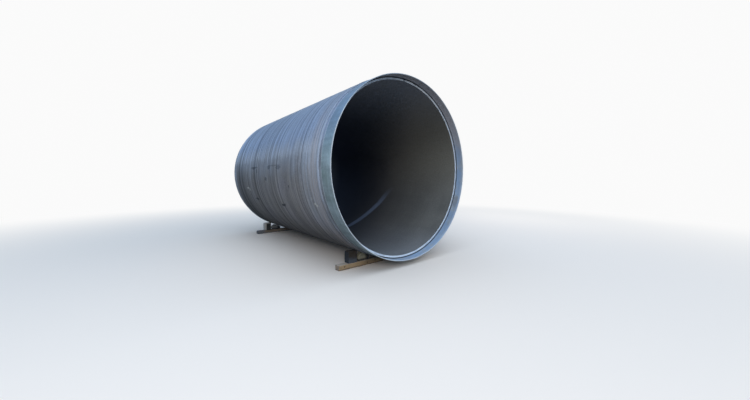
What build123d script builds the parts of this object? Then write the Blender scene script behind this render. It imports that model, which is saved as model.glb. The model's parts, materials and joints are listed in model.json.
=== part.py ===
"""A large concrete culvert pipe with a banded socket and a grooved spigot, lying on two timber chocks.

The pipe's axis is level and runs along Y, with the socket at -Y. Z is up, and the origin is on the ground
under the middle of the pipe. Lengths are in millimetres.
"""
from build123d import *
from math import asin, radians, sqrt, tan
import os

os.makedirs("parts", exist_ok=True)

# Barrel
bore_d = 3500
wall = 80
pipe_length = 6000
rim_bevel = 6
coat_bevel = 6

# Socket: a band round the end of the core, which runs on past the core's end face
band_setback = 14
band_wall = 14
band_length = 310
band_bevel = 3
seat_step = 2
socket_depth = 180
groove_width = 18
groove_depth = 30
bare_length = 80
bare_depth = 8

# Spigot: what enters the next pipe's socket, with grooves for its gaskets
joint_clearance = 6
spigot_length = 205
spigot_lead = 14
lead_angle = 25
gaskets = 2
gasket_width = 22
gasket_depth = 11
gasket_draft = 10
gasket_pitch = 52
first_gasket = 48

# Chocks: a plank across the pipe near each end, with a block and a wedge on either side
plank_length = 2580
plank_width = 130
plank_height = 100
plank_bevel = 4
plank_from_end = 655
block_width = 200
block_height = 225
block_depth = 140
block_bevel = 5
wedge_length = 280
wedge_depth = 125
wedge_bevel = 9
wedge_gap = 34
wedge_shoulder = 85
shoulder_drop = 62

# Radii, and places along the pipe
bore_r = bore_d / 2
barrel_r = bore_r + wall
band_r = barrel_r - band_setback
socket_r = band_r - band_wall
seat_r = socket_r - seat_step
bare_r = band_r - bare_depth
spigot_r = socket_r - joint_clearance
mouth_y = -pipe_length / 2
tail_y = pipe_length / 2
core_y = mouth_y + socket_depth
band_end_y = mouth_y + band_length
coat_y = band_end_y + bare_length
spigot_y = tail_y - spigot_length
lead_drop = spigot_lead * tan(radians(lead_angle))

# The sections are drawn on a plane through the axis, with the radius upwards.
axis_z = plank_height + barrel_r
pipe_axis = Axis((0, 0, axis_z), (0, 1, 0))
section_plane = Plane(origin=(0, 0, axis_z), x_dir=(0, 1, 0), z_dir=(1, 0, 0))

with BuildPart() as pipe_barrel:
    with BuildSketch(section_plane):
        with BuildLine():
            Polyline(
                (core_y, bore_r),
                (core_y, socket_r - groove_width),
                (core_y + groove_depth, socket_r - groove_width),
                (core_y + groove_depth, seat_r),
                (band_end_y, seat_r),
                (band_end_y, bare_r),
                (coat_y, bare_r),
                (coat_y, barrel_r - coat_bevel),
                (coat_y + coat_bevel, barrel_r),
                (spigot_y - coat_bevel, barrel_r),
                (spigot_y, barrel_r - coat_bevel),
                (spigot_y, spigot_r),
                (tail_y - spigot_lead, spigot_r),
                (tail_y, spigot_r - lead_drop),
                (tail_y, bore_r),
                close=True,
            )
        make_face()
    revolve(axis=pipe_axis)
    rims = pipe_barrel.edges().filter_by(GeomType.CIRCLE)
    bore_rims = rims.filter_by(lambda rim: abs(rim.radius - bore_r) < 0.01)
    chamfer(bore_rims, rim_bevel)
    with BuildSketch(section_plane):
        for number in range(gaskets):
            with Locations((tail_y - first_gasket - number * gasket_pitch, spigot_r)):
                Trapezoid(gasket_width, 2 * gasket_depth, 90 + gasket_draft)
    revolve(axis=pipe_axis, mode=Mode.SUBTRACT)
pipe_barrel.part.label = "pipe_barrel"
export_step(pipe_barrel.part, "parts/pipe_barrel.step")

with BuildPart() as socket_band:
    with BuildSketch(section_plane):
        with BuildLine():
            Polyline(
                (mouth_y, socket_r + band_bevel),
                (mouth_y, band_r - band_bevel),
                (mouth_y + band_bevel, band_r),
                (band_end_y - band_bevel, band_r),
                (band_end_y, band_r - band_bevel),
                (band_end_y, seat_r),
                (core_y, seat_r),
                (core_y, socket_r),
                (mouth_y + band_bevel, socket_r),
                close=True,
            )
        make_face()
    revolve(axis=pipe_axis)
socket_band.part.label = "socket_band"
export_step(socket_band.part, "parts/socket_band.step")

# A block touches the barrel with its inner top edge, and a wedge with the middle of its sloping face. The
# face ends at a shoulder, where the wedge's outer top corner is hewn off.
block_inner = sqrt(barrel_r**2 - (barrel_r - block_height) ** 2)
wedge_outer = block_inner - wedge_gap
wedge_inner = wedge_outer - wedge_length
shoulder_x = wedge_outer - wedge_shoulder
wedge_middle = (wedge_inner + shoulder_x) / 2
wedge_top = barrel_r - sqrt(barrel_r**2 - wedge_middle**2)
wedge_rise = (shoulder_x - wedge_inner) / 2 * tan(asin(wedge_middle / barrel_r))

for end, sign in (("socket", -1), ("spigot", 1)):
    station_y = sign * (pipe_length / 2 - plank_from_end)

    with BuildPart() as plank:
        with Locations((0, station_y, 0)):
            Box(plank_length, plank_width, plank_height, align=(Align.CENTER, Align.CENTER, Align.MIN))
        chamfer(plank.edges().filter_by(Axis.X), plank_bevel)
    plank.part.label = f"{end}_end_plank"
    export_step(plank.part, f"parts/{plank.part.label}.step")

    for side, way in (("left", -1), ("right", 1)):
        with BuildPart() as block:
            with Locations((way * (block_inner + block_width / 2), station_y, plank_height)):
                Box(block_width, block_depth, block_height, align=(Align.CENTER, Align.CENTER, Align.MIN))
            chamfer(block.edges().filter_by(Axis.Z), block_bevel)
        block.part.label = f"{end}_end_{side}_block"
        export_step(block.part, f"parts/{block.part.label}.step")

        with BuildPart() as wedge:
            with BuildSketch(Plane.XZ.offset(-station_y)):
                with BuildLine():
                    Polyline(
                        (way * wedge_inner, plank_height),
                        (way * wedge_inner, plank_height + wedge_top - wedge_rise),
                        (way * shoulder_x, plank_height + wedge_top + wedge_rise),
                        (way * wedge_outer, plank_height + wedge_top + wedge_rise - shoulder_drop),
                        (way * wedge_outer, plank_height),
                        close=True,
                    )
                make_face()
            extrude(amount=wedge_depth / 2, both=True)
            chamfer(wedge.edges().filter_by(Axis.Z), wedge_bevel)
        wedge.part.label = f"{end}_end_{side}_wedge"
        export_step(wedge.part, f"parts/{wedge.part.label}.step")
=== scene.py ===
"""Finishes a concrete culvert pipe on timber chocks: mottled coat, painted band, smooth bore and sawn wood.

It is laid out as an add-on and run as a script. Lengths are in metres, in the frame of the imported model: the
pipe's axis runs along Y with the socket at -Y, Z is up, and the origin is on the ground under its middle.
"""

import json
import math

import bpy
import numpy as np
from bpy.props import FloatProperty, FloatVectorProperty, IntProperty, PointerProperty
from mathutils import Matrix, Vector


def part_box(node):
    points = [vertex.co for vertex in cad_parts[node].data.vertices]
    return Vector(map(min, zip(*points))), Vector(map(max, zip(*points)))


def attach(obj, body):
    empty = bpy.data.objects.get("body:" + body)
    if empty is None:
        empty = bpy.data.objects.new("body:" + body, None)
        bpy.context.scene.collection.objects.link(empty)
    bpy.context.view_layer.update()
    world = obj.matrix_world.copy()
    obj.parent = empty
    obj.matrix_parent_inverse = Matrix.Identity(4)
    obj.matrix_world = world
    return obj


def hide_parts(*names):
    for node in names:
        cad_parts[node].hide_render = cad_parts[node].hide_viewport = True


bl_info = {
    "name": "Culvert Pipe Finish",
    "version": (1, 0, 0),
    "blender": (4, 5, 0),
    "location": "View3D > Sidebar > Culvert Pipe",
    "description": "Dresses a packed concrete culvert pipe and its chocks with relief and finishes",
    "category": "Add Mesh",
}

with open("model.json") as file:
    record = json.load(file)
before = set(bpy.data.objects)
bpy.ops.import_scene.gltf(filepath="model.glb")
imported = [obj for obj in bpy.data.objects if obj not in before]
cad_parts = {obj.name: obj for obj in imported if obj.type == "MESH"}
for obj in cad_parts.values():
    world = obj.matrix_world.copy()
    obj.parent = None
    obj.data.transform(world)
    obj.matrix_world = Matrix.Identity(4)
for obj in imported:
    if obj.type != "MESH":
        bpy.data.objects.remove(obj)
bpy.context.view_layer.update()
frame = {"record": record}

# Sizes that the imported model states
MOUNTS = {mount["name"]: mount for mount in frame["record"]["mounts"]}
BORE_R = MOUNTS["waterway"]["dims"]["r_mm"] / 1000
SOCKET_R = MOUNTS["socket"]["dims"]["r_mm"] / 1000
SPIGOT_R = MOUNTS["spigot"]["dims"]["r_mm"] / 1000
AXIS_Z = MOUNTS["waterway"]["pos_m"][2]
BARREL_LOW, BARREL_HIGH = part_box("pipe_barrel")
BAND_LOW, BAND_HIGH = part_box("socket_band")
COAT_R = AXIS_Z - BARREL_LOW.z
BAND_R = AXIS_Z - BAND_LOW.z
MOUTH_Y = BAND_LOW.y
BAND_END_Y = BAND_HIGH.y
CORE_Y = BARREL_LOW.y
TAIL_Y = BARREL_HIGH.y

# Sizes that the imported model's boxes and mounts don't give
BARREL_BEVEL = 0.006
BAND_BEVEL = 0.003
SEAT_STEP = 0.002
GROOVE_WIDTH = 0.018
GROOVE_DEPTH = 0.030
BARE_LENGTH = 0.080
BARE_DEPTH = 0.008
SPIGOT_LENGTH = 0.205
SPIGOT_LEAD = 0.014
LEAD_DROP = 0.0065
GASKET_PLACES = (0.048, 0.100)
GASKET_HALF_WIDTH = 0.013
GASKET_FOOT = 0.011
GASKET_DEPTH = 0.011
WEDGE_SHOULDER = 0.085
SHOULDER_DROP = 0.062

# Radii and places that follow from them
SEAT_R = SOCKET_R - SEAT_STEP
BARE_R = BAND_R - BARE_DEPTH
COAT_Y = BAND_END_Y + BARE_LENGTH
SPIGOT_Y = TAIL_Y - SPIGOT_LENGTH

# The cuts round a turned surface, and the angle past which a surface shows an edge
AROUND = 288
ANGLES = np.linspace(0, 2 * np.pi, AROUND, endpoint=False)[None, :]
SHARP_ANGLE = math.radians(32)


# Surfaces


def grid_faces(rows, columns, close_rows):
    """The four-cornered faces of a grid whose columns close on themselves, and whose rows do if asked."""
    spans = rows if close_rows else rows - 1
    row, column = np.meshgrid(np.arange(spans), np.arange(columns), indexing="ij")
    next_row, next_column = (row + 1) % rows, (column + 1) % columns
    corners = (row * columns + column, row * columns + next_column, next_row * columns + next_column,
               next_row * columns + column)
    return np.stack(corners, axis=-1).reshape(-1, 4)


def add_object(name, data):
    """An object in the scene for a mesh, a lamp or a camera."""
    made = bpy.data.objects.new(name, data)
    bpy.context.scene.collection.objects.link(made)
    return made


def make_piece(name, points, faces, materials, face_material=None, attributes=None):
    """Makes a mesh object that rides on the root body from points, faces, and values at each point."""
    mesh = bpy.data.meshes.new(name)
    mesh.from_pydata(points.reshape(-1, 3), [], faces)
    for material in materials:
        mesh.materials.append(material)
    if face_material is not None:
        mesh.polygons.foreach_set("material_index", np.asarray(face_material, np.int32))
    for key, values in (attributes or {}).items():
        layer = mesh.attributes.new(key, "FLOAT", "POINT")
        layer.data.foreach_set("value", np.asarray(values, np.float32).ravel())
    mesh.shade_smooth()
    mesh.set_sharp_from_angle(angle=SHARP_ANGLE)
    mesh.validate()
    mesh.update()
    piece = add_object(name, mesh)
    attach(piece, "root")
    return piece


def bell(distance):
    """A bell curve, exp(-d^2)."""
    return np.exp(-(distance**2))


def waves(seed, count, *ranges):
    """A smooth random field: a function that adds up cosines, whose frequencies are drawn from a range each.

    A range of whole numbers keeps whole frequencies, so that an angle closes on itself.
    """
    random = np.random.default_rng(seed)
    frequencies = []
    for low, high in ranges:
        if isinstance(low, int):
            frequencies.append(random.integers(low, high + 1, count))
        else:
            frequencies.append(random.uniform(low, high, count))
    phases = random.uniform(0, 2 * np.pi, count)

    def field(*coordinates):
        total = 0
        for number in range(count):
            angle = phases[number]
            for frequency, coordinate in zip(frequencies, coordinates):
                angle = angle + frequency[number] * coordinate
            total = total + np.cos(angle)
        return total / math.sqrt(count / 2)

    return field


class Profile:
    """The section of a turned piece: rows of places along the axis and radii, in named stretches."""

    def __init__(self, along, radius):
        self.last = (along, radius)
        self.along = []
        self.radius = []
        self.stretch = []

    def lines(self, name, *ends):
        """Adds rows from the last point to just before each end point, which the next line starts from.

        An end is a place along the axis, a radius, and the number of rows that lead to it.
        """
        for along, radius, count in ends:
            start = self.last
            share = np.arange(count) / count
            self.rows(name, start[0] + share * (along - start[0]), start[1] + share * (radius - start[1]))
            self.last = (along, radius)

    def rows(self, name, along, radius):
        """Adds rows of a stretch as they are given."""
        self.along.extend(along)
        self.radius.extend(np.broadcast_to(radius, along.shape))
        self.stretch.extend([name] * len(along))

    def columns(self):
        """The places and the radii, as columns of arrays."""
        return np.array(self.along)[:, None], np.array(self.radius)[:, None]


def make_turned(name, profile, along, radius, materials, attributes=None):
    """A closed surface round the axis, x = r sin a and z = axis + r cos a, with a material by stretch."""
    along, radius = np.broadcast_arrays(along, radius + 0 * ANGLES)
    points = np.stack([radius * np.sin(ANGLES), along, AXIS_Z + radius * np.cos(ANGLES)], axis=-1)
    faces = grid_faces(len(profile.stretch), AROUND, close_rows=True)[:, ::-1].tolist()
    kinds = list(dict.fromkeys(materials.values()))
    row_material = [kinds.index(materials[stretch]) for stretch in profile.stretch]
    return make_piece(name, points, faces, kinds, np.repeat(row_material, AROUND), attributes)


# Node materials


class Value:
    """A socket in a node tree, on which arithmetic adds Math nodes."""

    def __init__(self, finish, socket):
        self.finish = finish
        self.socket = socket

    def math(self, operation, *others):
        return self.finish.node("Math", {"operation": operation}, dict(enumerate((self, *others))))

    def __add__(self, other):
        return self.math("ADD", other)

    def __sub__(self, other):
        return self.math("SUBTRACT", other)

    def __mul__(self, other):
        return self.math("MULTIPLY", other)

    def __rsub__(self, other):
        return self.finish.node("Math", {"operation": "SUBTRACT"}, {0: other, 1: self})

    __radd__ = __add__
    __rmul__ = __mul__

    def most(self, other):
        return self.math("MAXIMUM", other)

    def swing(self, size):
        """Noise, which keeps about 0.5, as a change up and down."""
        return (self - 0.5) * size

    def step(self, low, high, to_low=0.0, to_high=1.0):
        """Eases from one value to another while this one goes from low to high."""
        return self.finish.node(
            "MapRange", {"interpolation_type": "SMOOTHSTEP"},
            {"Value": self, "From Min": low, "From Max": high, "To Min": to_low, "To Max": to_high})

    def window(self, start, full, fading, end):
        """Eases from 0 to 1 between the first two values, and back to 0 between the last two."""
        return self.step(start, full) * self.step(end, fading)

    def strip(self, middle, inner, outer):
        """1 as far as the inner distance from a middle value, and 0 from the outer distance on."""
        return (self - middle).math("ABSOLUTE").step(outer, inner)


class NodeTree:
    """A node tree built by one method that adds any node."""

    def __init__(self, owner):
        owner.use_nodes = True
        self.tree = owner.node_tree
        self.tree.nodes.clear()

    def node(self, kind, settings=None, inputs=None, output=0):
        """Adds a node: its settings first, then the values or links of its sockets."""
        made = self.tree.nodes.new("ShaderNode" + kind)
        for key, value in (settings or {}).items():
            setattr(made, key, value)
        for key, value in (inputs or {}).items():
            if isinstance(value, Value):
                self.tree.links.new(value.socket, made.inputs[key])
            elif made.inputs[key].type == "RGBA":
                made.inputs[key].default_value = (*value, 1)
            else:
                made.inputs[key].default_value = value
        return Value(self, made.outputs[output]) if made.outputs else None

    def ray(self, kind):
        """1 for rays of one kind, such as those from the camera, and 0 for others."""
        return self.node("LightPath", output=f"Is {kind} Ray")

    def vector(self, operation, *inputs, output=0):
        return self.node("VectorMath", {"operation": operation}, dict(enumerate(inputs)), output)

    def axes(self, vector):
        """The three numbers of a vector."""
        outputs = self.node("SeparateXYZ", inputs={0: vector}).socket.node.outputs
        return [Value(self, socket) for socket in outputs]

    def place(self, centre=(0, 0, 0), scale=(1, 1, 1)):
        """Object coordinates, moved so that the centre is at the origin and then scaled."""
        moved = self.vector("SUBTRACT", self.node("TexCoord", output="Object"), centre)
        return self.vector("MULTIPLY", moved, scale)

    def from_axis(self):
        """Object coordinates with the pipe's axis at height 0: the point, and its three numbers."""
        point = self.place((0, 0, AXIS_Z))
        return (point, *self.axes(point))

    def distance(self, centre=(0, 0, 0), scale=(1, 1, 1)):
        """The distance from a centre, in object coordinates that are scaled along each axis."""
        return self.vector("LENGTH", self.place(centre, scale), output="Value")

    def noise(self, vector, scale=1.0, detail=3.0, roughness=0.55, distortion=0.0):
        return self.node("TexNoise", inputs={"Vector": vector, "Scale": scale, "Detail": detail,
                                             "Roughness": roughness, "Distortion": distortion})

    def streaks(self, point, squeeze, shift=(0, 0, 0), **settings):
        """Noise that is squeezed along each axis by a factor, and shifted to differ from its like."""
        return self.noise(self.vector("MULTIPLY_ADD", point, squeeze, shift), **settings)

    def mix(self, share, first, second):
        """One colour into another by a share. Sockets 6 and 7 are the colours, and 2 is the mixture."""
        return self.node("Mix", {"data_type": "RGBA"}, {"Factor": share, 6: first, 7: second}, output=2)

    def scaled(self, colour, factor):
        """A colour made lighter or darker by a number."""
        return self.node("VectorMath", {"operation": "SCALE"}, {0: colour, "Scale": factor})


class Finish(NodeTree):
    """The node tree of a new material, whose colour is laid on in layers and whose bumps add up."""

    def __init__(self, name, colour):
        self.material = bpy.data.materials.new(name)
        self.colour = colour
        self.normal = {}
        super().__init__(self.material)

    def cover(self, share, colour):
        """Lays a colour over what is there, by a share."""
        self.colour = self.mix(share, self.colour, colour)

    def shade(self, factor):
        """Makes what is there lighter or darker."""
        self.colour = self.scaled(self.colour, factor)

    def bump(self, height, distance, strength=1.0):
        inputs = {"Height": height, "Distance": distance, "Strength": strength, **self.normal}
        self.normal = {"Normal": self.node("Bump", inputs=inputs)}

    def surface(self, roughness, specular=0.5):
        """The material, once its colour and its bumps are there."""
        inputs = {"Base Color": self.colour, "Roughness": roughness, "Specular IOR Level": specular}
        shader = self.node("BsdfPrincipled", inputs={**inputs, **self.normal})
        self.node("OutputMaterial", inputs={0: shader})
        return self.material


# The barrel's coat

# Marks on the side that the photograph shows: distance from the mouth, degrees down from the top towards -X,
# half the length along the pipe and round it, and how much lighter or darker they are
MARKS = (
    (0.725, 111.6, 0.040, 0.024, 0.95),
    (0.670, 112.6, 0.040, 0.024, 0.95),
    (0.800, 108.6, 0.030, 0.030, 0.45),
    (4.56, 104.6, 0.110, 0.024, 0.9),
    (4.44, 106.0, 0.045, 0.040, 0.7),
    (2.30, 116.0, 0.105, 0.034, -0.9),
    (2.20, 115.0, 0.060, 0.020, -0.6),
    (4.04, 114.0, 0.140, 0.036, -0.9),
    (3.82, 87.6, 0.270, 0.024, -0.70),
    (3.86, 88.2, 0.110, 0.034, -0.60),
    (3.62, 90.5, 0.045, 0.060, -0.6),
    (2.75, 88.4, 0.080, 0.050, -0.60),
    (2.18, 89.0, 0.150, 0.050, -0.50),
    (2.45, 87.4, 0.420, 0.016, -0.40),
    (1.69, 101.8, 0.028, 0.034, -0.7),
    (2.98, 96.8, 0.065, 0.045, -0.65),
    (1.07, 91.0, 0.020, 0.120, -0.30),
)

# The plainest ring lines in the photograph: distance from the mouth, and depth as a share of the deepest
MAIN_RINGS = (
    (0.67, 0.55), (1.05, 0.80), (1.46, 0.20), (1.65, 0.30), (2.25, 0.65), (2.31, 0.40), (2.70, 0.75),
    (2.97, 0.45), (3.08, 0.40), (3.40, 0.65), (3.48, 0.35), (3.82, 1.00), (3.90, 0.60), (4.09, 0.40),
    (4.33, 0.30), (5.03, 0.80), (5.28, 0.90), (5.46, 0.40),
)
MAIN_WIDTH = 0.010
WIDENING = 0.003
FINE_WIDTHS = (0.006, 0.010)
FINE_DEPTHS = (0.12, 0.4)
FIRST_FINE = COAT_Y + 0.12
LAST_FINE = SPIGOT_Y - 0.10
FINE_SEED = 11

# A ring line's parts, in widths of the line, and how its dark middle, dirt and painted shade, widens over a
# stretch of the pipe
HOLLOW_WIDTH = 4
LIP_PLACE = 7
LIP_WIDTH = 3
PALE_PLACE = 5.5
PALE_WIDTH = 2.5
DARK_LINE_WIDTH = 1.5
DARK_LINE_GROWTH = 0.9
DARK_LINE_START = 2.5
DARK_LINE_STRETCH = 2.5
FADE_SEED = 23

# Rows along the coat, and the places across a ring line, in widths of the line, where it has rows of its own
EVEN_ROWS = 116
RING_ROWS = np.array([-2.4, -1.1, 0, 1.1, 2.4])
FIRST_ROW = 0.012
END_GAP = 0.010
LEAST_GAP = 0.0025

# The coat's swells and ragged ends, each a seed, a count of waves and their frequencies along and round the
# pipe, how thick each lap is, and the stretch over which the rings begin to lean
SWELL_WAVES = (5, 26, (2.0, 34.0), (-2, 2))
RAGGED_WAVES = (31, 18, (1, 40))
RAGGED_DEPTH = 0.0022
RAGGED_LENGTH = 0.03
LAP_DEPTH = 0.0015
LEAN_LENGTH = 0.4
LEAN_TURN = 0.7


def coat_places(pipe):
    """The ring lines' places, depths and widths: the plain ones and finer seeded ones between them."""
    random = np.random.default_rng(FINE_SEED)
    fine = random.uniform(FIRST_FINE, LAST_FINE, pipe.fine_rings)
    main = np.array(MAIN_RINGS)
    places = np.concatenate([MOUTH_Y + main[:, 0], fine])
    depths = np.concatenate([main[:, 1], random.uniform(*FINE_DEPTHS, pipe.fine_rings)])
    fine_widths = random.uniform(*FINE_WIDTHS, pipe.fine_rings)
    widths = np.concatenate([MAIN_WIDTH + WIDENING * main[:, 0], fine_widths])
    order = np.argsort(places)
    return places[order], depths[order], widths[order]


def coat_rows(places, widths):
    """Rows along the coat: an even spacing, and five closer ones across each ring line."""
    even = np.linspace(COAT_Y + FIRST_ROW, SPIGOT_Y - FIRST_ROW, EVEN_ROWS)
    rows = np.sort(np.concatenate([even, (places[:, None] + widths[:, None] * RING_ROWS).ravel()]))
    rows = rows[(rows > COAT_Y + END_GAP) & (rows < SPIGOT_Y - END_GAP)]
    return rows[np.concatenate([[True], np.diff(rows) > LEAST_GAP])]


def coat_relief(pipe, along, places, depths, widths):
    """How far the coat lies under its nominal radius, how dark each ring line is, and the tone of each lap.

    A ring line is a groove, exp(-(d/w)^2), in a shallow hollow four times as wide, with a low lip on either
    side, where the coat is paler. It fades in and out round the pipe, the more so the fainter it is. A dark
    line lies in it, dirt with painted shade of the groove, which is wider towards the spigot.
    """
    random = np.random.default_rng(FADE_SEED)
    lines = np.zeros(np.broadcast(along, ANGLES).shape)
    groove, pale = np.zeros_like(lines), np.zeros_like(lines)
    for place, depth, width in zip(places, depths, widths):
        turns = random.integers(1, 4)
        fade = 1 - (0.5 - 0.45 * depth) * (1 - np.cos(turns * ANGLES + random.uniform(0, 2 * np.pi)))
        distance = (along - place) / width
        hollow = bell(distance / HOLLOW_WIDTH)
        # The dark middle's width: dirt and painted shade, wider towards the spigot.
        stain = DARK_LINE_WIDTH + DARK_LINE_GROWTH * np.clip((place - MOUTH_Y - DARK_LINE_START) / DARK_LINE_STRETCH, 0, 1)
        lines = np.maximum(lines, depth * fade * (0.8 * bell(distance / stain) + 0.2 * hollow))
        pale = pale + depth * fade * bell((np.abs(distance) - PALE_PLACE) / PALE_WIDTH)
        lip = bell((np.abs(distance) - LIP_PLACE) / LIP_WIDTH)
        groove = groove + depth * fade * (0.55 * bell(distance) + 0.45 * hollow - 0.15 * lip)
    lap_tones = random.uniform(-1, 1, len(places) + 1)
    tone = lap_tones[np.searchsorted(places, along)] + 0 * ANGLES
    swell = waves(*SWELL_WAVES)(along, ANGLES)
    relief = pipe.ring_depth * groove + pipe.coat_swell * (0.6 + 0.2 * swell) + LAP_DEPTH * tone
    return np.clip(relief, 0, None), lines - 0.16 * pale, tone


def barrel_profile(rows):
    """The barrel's closed section: along the bore, round the spigot, back along the coat, into the socket."""
    bevel = BARREL_BEVEL
    profile = Profile(CORE_Y + bevel, BORE_R)
    profile.lines("bore", (TAIL_Y - bevel, BORE_R, 12))
    profile.lines("face", (TAIL_Y, BORE_R + bevel, 1), (TAIL_Y, SPIGOT_R - LEAD_DROP, 2))
    profile.lines("spigot", (TAIL_Y - SPIGOT_LEAD, SPIGOT_R, 1))
    floor_r = SPIGOT_R - GASKET_DEPTH
    for distance in GASKET_PLACES:
        middle = TAIL_Y - distance
        profile.lines("spigot", (middle + GASKET_HALF_WIDTH, SPIGOT_R, 2), (middle + GASKET_FOOT, floor_r, 1),
                      (middle - GASKET_FOOT, floor_r, 2), (middle - GASKET_HALF_WIDTH, SPIGOT_R, 1))
    profile.lines("spigot", (SPIGOT_Y, SPIGOT_R, 3))
    profile.lines("coat", (SPIGOT_Y, COAT_R - bevel, 2), (SPIGOT_Y - bevel, COAT_R, 1))
    profile.rows("ringed", rows[::-1], COAT_R)
    profile.last = (COAT_Y + bevel, COAT_R)
    profile.lines("coat", (COAT_Y, COAT_R - bevel, 1), (COAT_Y, BARE_R, 2))
    profile.lines("spigot", (BAND_END_Y, BARE_R, 3), (BAND_END_Y, SEAT_R, 1),
                  (CORE_Y + GROOVE_DEPTH, SEAT_R, 2))
    groove_r = SOCKET_R - GROOVE_WIDTH
    profile.lines("groove", (CORE_Y + GROOVE_DEPTH, groove_r, 1), (CORE_Y, groove_r, 2))
    profile.lines("face", (CORE_Y, BORE_R + bevel, 2), (CORE_Y + bevel, BORE_R, 1))
    return profile


class CoatFinish(Finish):
    """The coat's finish, with the coordinates and the noises that its layers share.

    Along is the place before the rings lean, line is how dark a ring line is, and tone is a lap's own tone.
    """

    def __init__(self, pipe):
        # The base colour is painted sky light, which lay_ground covers lower down.
        super().__init__("cement_coat", pipe.coat_painted_sky)
        self.pipe = pipe
        _, self.x, self.y, self.z = self.from_axis()
        names = ("along", "line", "tone")
        stored = [self.node("Attribute", {"attribute_name": name}, output="Fac") for name in names]
        self.along, self.line, self.tone = stored
        point = self.node("CombineXYZ", inputs={0: self.x, 1: self.along, 2: self.z})
        self.point = point
        self.wide_streak = self.streaks(point, (0.4, 13.0, 0.4), (5, 0, 0))
        self.streak = self.streaks(point, (0.45, 40.0, 0.45), detail=5, roughness=0.62)
        self.fine_streak = self.streaks(point, (1.3, 130.0, 1.3), (7, 0, 0))
        self.mottle = self.streaks(point, (1, 1.6, 1), scale=2.6, detail=7, roughness=0.62)
        self.patch = self.noise(point, scale=9.0, detail=6, roughness=0.65)
        self.grit = self.noise(point, scale=85.0, detail=2)
        self.lap = self.streaks(point, (0.3, 7.5, 0.3), (2, 0, 0), detail=1.5, roughness=0.4) - 0.5
        self.seam = self.lap.strip(0.0, 0.0, 0.045)
        self.lip = self.lap.window(0.015, 0.05, 0.06, 0.14)
        self.below = (self.z + self.mottle.swing(0.9)).step(0.35, -0.35)
        self.height = self.z + self.mottle.swing(0.35)
        self.near = self.y.step(-1.7, -2.4)
        self.by_band = self.y.step(-1.5, -2.3)
        self.shown = self.x.step(0.3, -0.7)

    def lay_ground(self):
        """Painted sky light above, grey at mid height, brown to violet below, the brown painted ground bounce.
        """
        self.cover((self.z + self.mottle.swing(0.6)).step(0.72, 0.22), self.pipe.coat_middle)
        self.cover(self.below * 0.85 + self.patch.swing(0.5), self.pipe.coat_painted_bounce)
        violet = self.streaks(self.point, (1, 0.9, 1), (0, 4, 0), scale=1.7, detail=4).step(0.45, 0.66)
        self.cover(self.below * violet * 0.5, self.pipe.coat_violet)

    def texture(self):
        """Light and dark by laps, streaks, mottling, grit and specks, strongest on the side that is shown."""
        y, z, lap = self.y, self.z, self.lap
        low_near = y.step(-1.5, -2.1) * z.step(-0.2, -0.9)
        contrast = 0.85 + self.shown * (0.15 + y.step(-1.3, 0.3) * 0.80 + low_near)
        streaks = self.wide_streak.swing(1.15) + self.streak.swing(1.3) + self.fine_streak.swing(0.6)
        speck = self.streaks(self.point, (1, 1.3, 1), scale=27.0, roughness=0.6)
        light = 1.0 + self.tone * 0.06 + lap.step(-0.02, 0.02, -0.03, 0.03)
        light = light + self.lip * 0.10 - self.seam * 0.16 + streaks * contrast
        light = light + self.grit.swing(0.45) + self.mottle.swing(0.25) + self.patch.swing(0.5)
        return light + (speck - 0.5) * (0.3 + y.step(-1.2, -2.2) * 0.75)

    def zones(self):
        """Painted light and shade by height and along the pipe: a lighter shoulder, a darker waist, crown and
        underside.
        """
        y, z, height, near = self.y, self.z, self.height, self.near
        shoulder = height.window(0.15, 0.45, 0.7, 1.0)
        waist = height.window(-0.5, -0.1, 0.1, 0.35)
        flank = height.window(-1.3, -0.8, 0.2, 0.6)
        light = y.step(-2.4, 2.4, 0.96, 1.06) * z.step(-1.5, -0.9, 0.80, 1.0)
        light = light * height.step(0.85, 1.35, 1.0, 0.88)
        light = light * (1 + shoulder * (0.14 - near * 0.05) - waist * (1 - near) * 0.12)
        light = light * (1 + near * (flank * 0.08 - height.step(0.5, 1.2) * 0.14))
        far = z.window(0.3, 0.6, 1.0, 1.35) * 0.18 - z.step(-0.2, -1.4) * 0.50
        return light * (1 + y.step(1.2, 2.2) * far)

    def runs(self):
        """Painted light and shade round where the coat turns from the sky, and dark and pale strips below it.
        """
        y, z = self.y, self.z
        # Painted highlight just above the turn from the sky, and painted shade just below it.
        sky_edge = (z + self.patch.swing(0.16) + self.streak.swing(0.30)).step(0.19, 0.30) - z.step(0.0, 0.5)
        # The slanting and the dark upright strips are painted shade; the pale upright strip is a run.
        slant = (y + z * 0.11).strip(MOUTH_Y + 3.825, 0.02, 0.085) * z.window(-1.3, -0.9, 1.0, 1.5)
        pale = y.strip(MOUTH_Y + 2.07, 0.02, 0.07) * z.step(-0.45, -0.7)
        dark = y.strip(MOUTH_Y + 2.27, 0.02, 0.08) * z.step(-0.55, -0.8)
        return (1 + sky_edge * 0.15) * (1 + (pale * 0.15 - dark * 0.12 - slant * 0.17) * self.shown)

    def soil(self):
        """How dirty the coat is: more so below and towards the spigot, and in a patch near it."""
        patch = (self.z + self.mottle.swing(0.6)).step(0.45, -0.1)
        patch = patch * (self.y + self.wide_streak.swing(0.5)).step(1.62, 1.95) * self.y.step(2.72, 2.50)
        return self.below * (self.y + self.mottle.swing(2.0)).step(-2.2, 1.6) * 0.18 + patch * 0.26

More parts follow.
